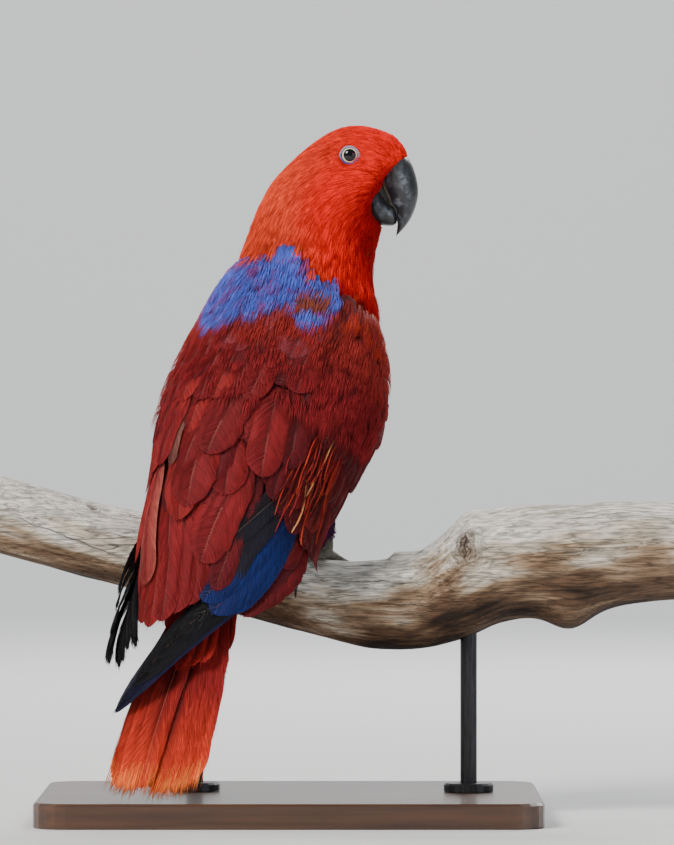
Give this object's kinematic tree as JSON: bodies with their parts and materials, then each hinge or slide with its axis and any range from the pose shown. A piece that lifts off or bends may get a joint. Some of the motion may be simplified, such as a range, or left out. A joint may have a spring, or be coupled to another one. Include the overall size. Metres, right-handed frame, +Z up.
{
  "type": "perched eclectus parrot model",
  "caption": "Life-size still model of a perched female eclectus parrot gripping a cut length of branch on a low display stand.",
  "frame": {"origin": "middle of the display base's underside", "axes": "+Z up; +X along the branch to the bird's right, the way the bill points; +Y away from the back and tail"},
  "size_m": [0.328, 0.192, 0.3335],
  "materials": {
    "head_feathers": "fine matte plumage",
    "neck_feathers": "fine matte plumage",
    "body_feathers": "soft plumage",
    "thigh_feathers": "soft plumage",
    "wing_feathers": "sleek vanes",
    "tail_feathers": "sleek vanes",
    "bill_horn": "satin horn",
    "eye_gloss": "wet gloss",
    "foot_skin": "scaled skin",
    "claw_horn": "satin horn",
    "perch_wood": "weathered bare wood",
    "base_wood": "satin varnish",
    "rod_metal": "dark satin"
  },
  "bodies": {
    "root": {"head": "head_feathers", "neck": "neck_feathers", "torso": "body_feathers", "thigh_left": "thigh_feathers", "thigh_right": "thigh_feathers", "wing_left": "wing_feathers", "wing_right": "wing_feathers", "tail": "tail_feathers", "beak_upper": "bill_horn", "beak_lower": "bill_horn", "eye_left": "eye_gloss", "eye_right": "eye_gloss", "foot_left": "foot_skin", "foot_right": "foot_skin", "claw_left_front_inner": "claw_horn", "claw_left_front_outer": "claw_horn", "claw_left_back_inner": "claw_horn", "claw_left_back_outer": "claw_horn", "claw_right_front_inner": "claw_horn", "claw_right_front_outer": "claw_horn", "claw_right_back_inner": "claw_horn", "claw_right_back_outer": "claw_horn", "perch": "perch_wood", "stand_base": "base_wood", "stand_rod_left": "rod_metal", "stand_rod_right": "rod_metal"}
  },
  "joints": []
}
